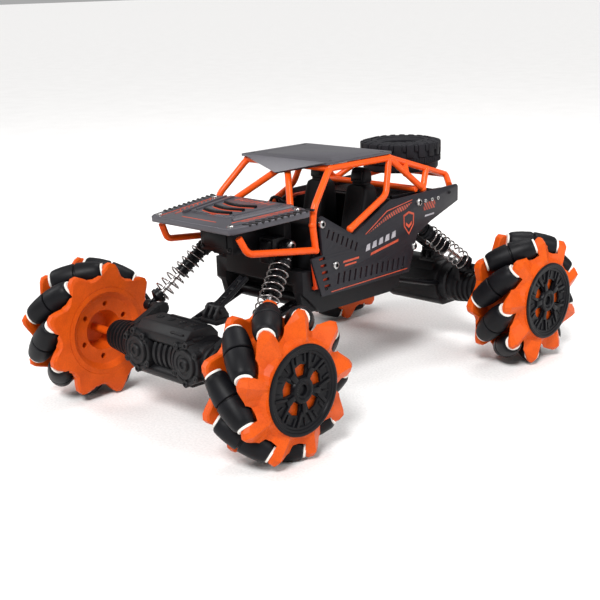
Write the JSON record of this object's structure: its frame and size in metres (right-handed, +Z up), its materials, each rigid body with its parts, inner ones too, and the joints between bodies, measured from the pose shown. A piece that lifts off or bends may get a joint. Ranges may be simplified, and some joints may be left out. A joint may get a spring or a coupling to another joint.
{
  "type": "rc stunt car",
  "caption": "Radio controlled stunt car with roller wheels, sprung beam axles, a tubular roll cage, bonnet and roof plates and a spare tyre.",
  "frame": {"origin": "on the ground, midway between the axles on the centre plane", "axes": "+Z up, front of the car towards -Y, left side towards +X"},
  "size_m": [0.2222, 0.3318, 0.1542],
  "materials": {
    "orange_wheel": "satin moulded",
    "orange_cage": "gloss moulded",
    "orange_body": "matt moulded",
    "axle_black": "fine textured",
    "chassis_black": "fine textured",
    "panel_black": "satin printed sheet",
    "interior_black": "satin",
    "plate_metal": "satin powder coat",
    "roller_rubber": "smooth satin",
    "tyre_rubber": "matt",
    "shock_steel": "bright",
    "shock_black": "gloss",
    "battery_wrap": "shrink wrap"
  },
  "bodies": {
    "chassis": {"chassis_tub": "chassis_black", "battery_pack": "battery_wrap", "inner_body": "orange_body", "side_panel_left": "panel_black", "side_panel_right": "panel_black", "cab_interior": "interior_black", "hood_plate": "plate_metal", "roof_plate": "plate_metal", "roll_cage": "orange_cage", "spare_tyre": "tyre_rubber"},
    "front_axle": {"front_axle_housing": "axle_black"},
    "rear_axle": {"rear_axle_housing": "axle_black"},
    "wheel_front_left": {"wheel_hub_front_left": "orange_wheel"},
    "wheel_front_right": {"wheel_hub_front_right": "orange_wheel"},
    "wheel_rear_left": {"wheel_hub_rear_left": "orange_wheel"},
    "wheel_rear_right": {"wheel_hub_rear_right": "orange_wheel"},
    "shock_cylinder_front_left": {"shock_cylinder_front_left": "shock_black"},
    "shock_rod_front_left": {"shock_rod_front_left": "shock_steel"},
    "shock_cylinder_front_right": {"shock_cylinder_front_right": "shock_black"},
    "shock_rod_front_right": {"shock_rod_front_right": "shock_steel"},
    "shock_cylinder_rear_left": {"shock_cylinder_rear_left": "shock_black"},
    "shock_rod_rear_left": {"shock_rod_rear_left": "shock_steel"},
    "shock_cylinder_rear_right": {"shock_cylinder_rear_right": "shock_black"},
    "shock_rod_rear_right": {"shock_rod_rear_right": "shock_steel"},
    "roller_front_left_1": {"roller_front_left_1": "roller_rubber"},
    "roller_front_left_2": {"roller_front_left_2": "roller_rubber"},
    "roller_front_left_3": {"roller_front_left_3": "roller_rubber"},
    "roller_front_left_4": {"roller_front_left_4": "roller_rubber"},
    "roller_front_left_5": {"roller_front_left_5": "roller_rubber"},
    "roller_front_left_6": {"roller_front_left_6": "roller_rubber"},
    "roller_front_left_7": {"roller_front_left_7": "roller_rubber"},
    "roller_front_left_8": {"roller_front_left_8": "roller_rubber"},
    "roller_front_left_9": {"roller_front_left_9": "roller_rubber"},
    "roller_front_right_1": {"roller_front_right_1": "roller_rubber"},
    "roller_front_right_2": {"roller_front_right_2": "roller_rubber"},
    "roller_front_right_3": {"roller_front_right_3": "roller_rubber"},
    "roller_front_right_4": {"roller_front_right_4": "roller_rubber"},
    "roller_front_right_5": {"roller_front_right_5": "roller_rubber"},
    "roller_front_right_6": {"roller_front_right_6": "roller_rubber"},
    "roller_front_right_7": {"roller_front_right_7": "roller_rubber"},
    "roller_front_right_8": {"roller_front_right_8": "roller_rubber"},
    "roller_front_right_9": {"roller_front_right_9": "roller_rubber"},
    "roller_rear_left_1": {"roller_rear_left_1": "roller_rubber"},
    "roller_rear_left_2": {"roller_rear_left_2": "roller_rubber"},
    "roller_rear_left_3": {"roller_rear_left_3": "roller_rubber"},
    "roller_rear_left_4": {"roller_rear_left_4": "roller_rubber"},
    "roller_rear_left_5": {"roller_rear_left_5": "roller_rubber"},
    "roller_rear_left_6": {"roller_rear_left_6": "roller_rubber"},
    "roller_rear_left_7": {"roller_rear_left_7": "roller_rubber"},
    "roller_rear_left_8": {"roller_rear_left_8": "roller_rubber"},
    "roller_rear_left_9": {"roller_rear_left_9": "roller_rubber"},
    "roller_rear_right_1": {"roller_rear_right_1": "roller_rubber"},
    "roller_rear_right_2": {"roller_rear_right_2": "roller_rubber"},
    "roller_rear_right_3": {"roller_rear_right_3": "roller_rubber"},
    "roller_rear_right_4": {"roller_rear_right_4": "roller_rubber"},
    "roller_rear_right_5": {"roller_rear_right_5": "roller_rubber"},
    "roller_rear_right_6": {"roller_rear_right_6": "roller_rubber"},
    "roller_rear_right_7": {"roller_rear_right_7": "roller_rubber"},
    "roller_rear_right_8": {"roller_rear_right_8": "roller_rubber"},
    "roller_rear_right_9": {"roller_rear_right_9": "roller_rubber"}
  },
  "joints": [
    {"name": "front_axle_travel", "type": "hinge", "parent": "chassis", "child": "front_axle", "pos_m": [0, -0.04, 0.066], "axis": [1, 0, 0], "range_deg": [-7, 7], "stiffness_Nm_per_rad": 1, "springref_deg": 11.46},
    {"name": "rear_axle_travel", "type": "hinge", "parent": "chassis", "child": "rear_axle", "pos_m": [0, 0.04, 0.066], "axis": [1, 0, 0], "range_deg": [-7, 7], "stiffness_Nm_per_rad": 1, "springref_deg": -11.46},
    {"name": "wheel_front_left_spin", "type": "hinge", "parent": "front_axle", "child": "wheel_front_left", "pos_m": [0.0903, -0.1203, 0.0457], "axis": [1, 0, 0], "continuous": true},
    {"name": "wheel_front_right_spin", "type": "hinge", "parent": "front_axle", "child": "wheel_front_right", "pos_m": [-0.0903, -0.1203, 0.0457], "axis": [1, 0, 0], "continuous": true},
    {"name": "wheel_rear_left_spin", "type": "hinge", "parent": "rear_axle", "child": "wheel_rear_left", "pos_m": [0.0903, 0.1203, 0.0457], "axis": [1, 0, 0], "continuous": true},
    {"name": "wheel_rear_right_spin", "type": "hinge", "parent": "rear_axle", "child": "wheel_rear_right", "pos_m": [-0.0903, 0.1203, 0.0457], "axis": [1, 0, 0], "continuous": true},
    {"name": "shock_front_left_swing", "type": "hinge", "parent": "chassis", "child": "shock_cylinder_front_left", "pos_m": [0.033, -0.054, 0.1055], "axis": [1, 0, 0], "range_deg": [-6.15, 6.15]},
    {"name": "shock_front_left_stroke", "type": "slide", "parent": "shock_cylinder_front_left", "child": "shock_rod_front_left", "axis": [0.2819, -0.7009, -0.6552], "range_m": [-0.005, 0.005]},
    {"name": "shock_front_right_swing", "type": "hinge", "parent": "chassis", "child": "shock_cylinder_front_right", "pos_m": [-0.033, -0.054, 0.1055], "axis": [1, 0, 0], "range_deg": [-6.15, 6.15]},
    {"name": "shock_front_right_stroke", "type": "slide", "parent": "shock_cylinder_front_right", "child": "shock_rod_front_right", "axis": [-0.2819, -0.7009, -0.6552], "range_m": [-0.005, 0.005]},
    {"name": "shock_rear_left_swing", "type": "hinge", "parent": "chassis", "child": "shock_cylinder_rear_left", "pos_m": [0.0345, 0.066, 0.1015], "axis": [1, 0, 0], "range_deg": [-7.6, 7.6]},
    {"name": "shock_rear_left_stroke", "type": "slide", "parent": "shock_cylinder_rear_left", "child": "shock_rod_rear_left", "axis": [0.2686, 0.7269, -0.6321], "range_m": [-0.00565, 0.00565]},
    {"name": "shock_rear_right_swing", "type": "hinge", "parent": "chassis", "child": "shock_cylinder_rear_right", "pos_m": [-0.0345, 0.066, 0.1015], "axis": [1, 0, 0], "range_deg": [-7.6, 7.6]},
    {"name": "shock_rear_right_stroke", "type": "slide", "parent": "shock_cylinder_rear_right", "child": "shock_rod_rear_right", "axis": [-0.2686, 0.7269, -0.6321], "range_m": [-0.00565, 0.00565]},
    {"name": "roller_front_left_1_spin", "type": "hinge", "parent": "wheel_front_left", "child": "roller_front_left_1", "pos_m": [0.0903, -0.08575, 0.05896], "axis": [0.693, -0.2584, 0.673], "continuous": true},
    {"name": "roller_front_left_2_spin", "type": "hinge", "parent": "wheel_front_left", "child": "roller_front_left_2", "pos_m": [0.0903, -0.10236, 0.07806], "axis": [0.693, -0.6305, 0.3495], "continuous": true},
    {"name": "roller_front_left_3_spin", "type": "hinge", "parent": "wheel_front_left", "child": "roller_front_left_3", "pos_m": [0.0903, -0.12736, 0.08202], "axis": [0.693, -0.7077, -0.1376], "continuous": true},
    {"name": "roller_front_left_4_spin", "type": "hinge", "parent": "wheel_front_left", "child": "roller_front_left_4", "pos_m": [0.0903, -0.14906, 0.06899], "axis": [0.693, -0.4537, -0.5603], "continuous": true},
    {"name": "roller_front_left_5_spin", "type": "hinge", "parent": "wheel_front_left", "child": "roller_front_left_5", "pos_m": [0.0903, -0.1573, 0.04505], "axis": [0.693, 0.0126, -0.7208], "continuous": true},
    {"name": "roller_front_left_6_spin", "type": "hinge", "parent": "wheel_front_left", "child": "roller_front_left_6", "pos_m": [0.0903, -0.14823, 0.02142], "axis": [0.693, 0.473, -0.5441], "continuous": true},
    {"name": "roller_front_left_7_spin", "type": "hinge", "parent": "wheel_front_left", "child": "roller_front_left_7", "pos_m": [0.0903, -0.12609, 0.00915], "axis": [0.693, 0.712, -0.1128], "continuous": true},
    {"name": "roller_front_left_8_spin", "type": "hinge", "parent": "wheel_front_left", "child": "roller_front_left_8", "pos_m": [0.0903, -0.10124, 0.01398], "axis": [0.693, 0.6179, 0.3713], "continuous": true},
    {"name": "roller_front_left_9_spin", "type": "hinge", "parent": "wheel_front_left", "child": "roller_front_left_9", "pos_m": [0.0903, -0.08531, 0.03365], "axis": [0.693, 0.2347, 0.6816], "continuous": true},
    {"name": "roller_front_right_1_spin", "type": "hinge", "parent": "wheel_front_right", "child": "roller_front_right_1", "pos_m": [-0.0903, -0.08624, 0.06016], "axis": [-0.693, -0.2817, 0.6636], "continuous": true},
    {"name": "roller_front_right_2_spin", "type": "hinge", "parent": "wheel_front_right", "child": "roller_front_right_2", "pos_m": [-0.0903, -0.1035, 0.07867], "axis": [-0.693, -0.6423, 0.3273], "continuous": true},
    {"name": "roller_front_right_3_spin", "type": "hinge", "parent": "wheel_front_right", "child": "roller_front_right_3", "pos_m": [-0.0903, -0.12862, 0.08176], "axis": [-0.693, -0.7024, -0.1622], "continuous": true},
    {"name": "roller_front_right_4_spin", "type": "hinge", "parent": "wheel_front_right", "child": "roller_front_right_4", "pos_m": [-0.0903, -0.14985, 0.06797], "axis": [-0.693, -0.4339, -0.5757], "continuous": true},
    {"name": "roller_front_right_5_spin", "type": "hinge", "parent": "wheel_front_right", "child": "roller_front_right_5", "pos_m": [-0.0903, -0.15725, 0.04376], "axis": [-0.693, 0.0377, -0.7199], "continuous": true},
    {"name": "roller_front_right_6_spin", "type": "hinge", "parent": "wheel_front_right", "child": "roller_front_right_6", "pos_m": [-0.0903, -0.14736, 0.02046], "axis": [-0.693, 0.4917, -0.5272], "continuous": true},
    {"name": "roller_front_right_7_spin", "type": "hinge", "parent": "wheel_front_right", "child": "roller_front_right_7", "pos_m": [-0.0903, -0.12481, 0.00897], "axis": [-0.693, 0.7155, -0.0879], "continuous": true},
    {"name": "roller_front_right_8_spin", "type": "hinge", "parent": "wheel_front_right", "child": "roller_front_right_8", "pos_m": [-0.0903, -0.10015, 0.01467], "axis": [-0.693, 0.6046, 0.3926], "continuous": true},
    {"name": "roller_front_right_9_spin", "type": "hinge", "parent": "wheel_front_right", "child": "roller_front_right_9", "pos_m": [-0.0903, -0.08491, 0.03488], "axis": [-0.693, 0.2108, 0.6894], "continuous": true},
    {"name": "roller_rear_left_1_spin", "type": "hinge", "parent": "wheel_rear_left", "child": "roller_rear_left_1", "pos_m": [0.0903, 0.15728, 0.04441], "axis": [0.693, -0.0252, -0.7205], "continuous": true},
    {"name": "roller_rear_left_2_spin", "type": "hinge", "parent": "wheel_rear_left", "child": "roller_rear_left_2", "pos_m": [0.0903, 0.14946, 0.06848], "axis": [0.693, 0.4438, -0.5681], "continuous": true},
    {"name": "roller_rear_left_3_spin", "type": "hinge", "parent": "wheel_rear_left", "child": "roller_rear_left_3", "pos_m": [0.0903, 0.12799, 0.0819], "axis": [0.693, 0.7052, -0.1499], "continuous": true},
    {"name": "roller_rear_left_4_spin", "type": "hinge", "parent": "wheel_rear_left", "child": "roller_rear_left_4", "pos_m": [0.0903, 0.10293, 0.07837], "axis": [0.693, 0.6365, 0.3384], "continuous": true},
    {"name": "roller_rear_left_5_spin", "type": "hinge", "parent": "wheel_rear_left", "child": "roller_rear_left_5", "pos_m": [0.0903, 0.08599, 0.05956], "axis": [0.693, 0.2701, 0.6684], "continuous": true},
    {"name": "roller_rear_left_6_spin", "type": "hinge", "parent": "wheel_rear_left", "child": "roller_rear_left_6", "pos_m": [0.0903, 0.08511, 0.03426], "axis": [0.693, -0.2228, 0.6856], "continuous": true},
    {"name": "roller_rear_left_7_spin", "type": "hinge", "parent": "wheel_rear_left", "child": "roller_rear_left_7", "pos_m": [0.0903, 0.10069, 0.01432], "axis": [0.693, -0.6114, 0.382], "continuous": true},
    {"name": "roller_rear_left_8_spin", "type": "hinge", "parent": "wheel_rear_left", "child": "roller_rear_left_8", "pos_m": [0.0903, 0.12545, 0.00906], "axis": [0.693, -0.7139, -0.1003], "continuous": true},
    {"name": "roller_rear_left_9_spin", "type": "hinge", "parent": "wheel_rear_left", "child": "roller_rear_left_9", "pos_m": [0.0903, 0.1478, 0.02094], "axis": [0.693, -0.4824, -0.5357], "continuous": true},
    {"name": "roller_rear_right_1_spin", "type": "hinge", "parent": "wheel_rear_right", "child": "roller_rear_right_1", "pos_m": [-0.0903, 0.15728, 0.04441], "axis": [-0.693, -0.0252, -0.7205], "continuous": true},
    {"name": "roller_rear_right_2_spin", "type": "hinge", "parent": "wheel_rear_right", "child": "roller_rear_right_2", "pos_m": [-0.0903, 0.14946, 0.06848], "axis": [-0.693, 0.4438, -0.5681], "continuous": true},
    {"name": "roller_rear_right_3_spin", "type": "hinge", "parent": "wheel_rear_right", "child": "roller_rear_right_3", "pos_m": [-0.0903, 0.12799, 0.0819], "axis": [-0.693, 0.7052, -0.1499], "continuous": true},
    {"name": "roller_rear_right_4_spin", "type": "hinge", "parent": "wheel_rear_right", "child": "roller_rear_right_4", "pos_m": [-0.0903, 0.10293, 0.07837], "axis": [-0.693, 0.6365, 0.3384], "continuous": true},
    {"name": "roller_rear_right_5_spin", "type": "hinge", "parent": "wheel_rear_right", "child": "roller_rear_right_5", "pos_m": [-0.0903, 0.08599, 0.05956], "axis": [-0.693, 0.2701, 0.6684], "continuous": true},
    {"name": "roller_rear_right_6_spin", "type": "hinge", "parent": "wheel_rear_right", "child": "roller_rear_right_6", "pos_m": [-0.0903, 0.08511, 0.03426], "axis": [-0.693, -0.2228, 0.6856], "continuous": true},
    {"name": "roller_rear_right_7_spin", "type": "hinge", "parent": "wheel_rear_right", "child": "roller_rear_right_7", "pos_m": [-0.0903, 0.10069, 0.01432], "axis": [-0.693, -0.6114, 0.382], "continuous": true},
    {"name": "roller_rear_right_8_spin", "type": "hinge", "parent": "wheel_rear_right", "child": "roller_rear_right_8", "pos_m": [-0.0903, 0.12545, 0.00906], "axis": [-0.693, -0.7139, -0.1003], "continuous": true},
    {"name": "roller_rear_right_9_spin", "type": "hinge", "parent": "wheel_rear_right", "child": "roller_rear_right_9", "pos_m": [-0.0903, 0.1478, 0.02094], "axis": [-0.693, -0.4824, -0.5357], "continuous": true}
  ],
  "couplings": [
    {"joint": "shock_front_left_swing", "follows": "front_axle_travel", "ratio": 0.73559},
    {"joint": "shock_front_left_stroke", "follows": "front_axle_travel", "m_per_rad": 0.036808},
    {"joint": "shock_front_right_swing", "follows": "front_axle_travel", "ratio": 0.73559},
    {"joint": "shock_front_right_stroke", "follows": "front_axle_travel", "m_per_rad": 0.036808},
    {"joint": "shock_rear_left_swing", "follows": "rear_axle_travel", "ratio": 0.94326},
    {"joint": "shock_rear_left_stroke", "follows": "rear_axle_travel", "m_per_rad": -0.042138},
    {"joint": "shock_rear_right_swing", "follows": "rear_axle_travel", "ratio": 0.94326},
    {"joint": "shock_rear_right_stroke", "follows": "rear_axle_travel", "m_per_rad": -0.042138}
  ]
}
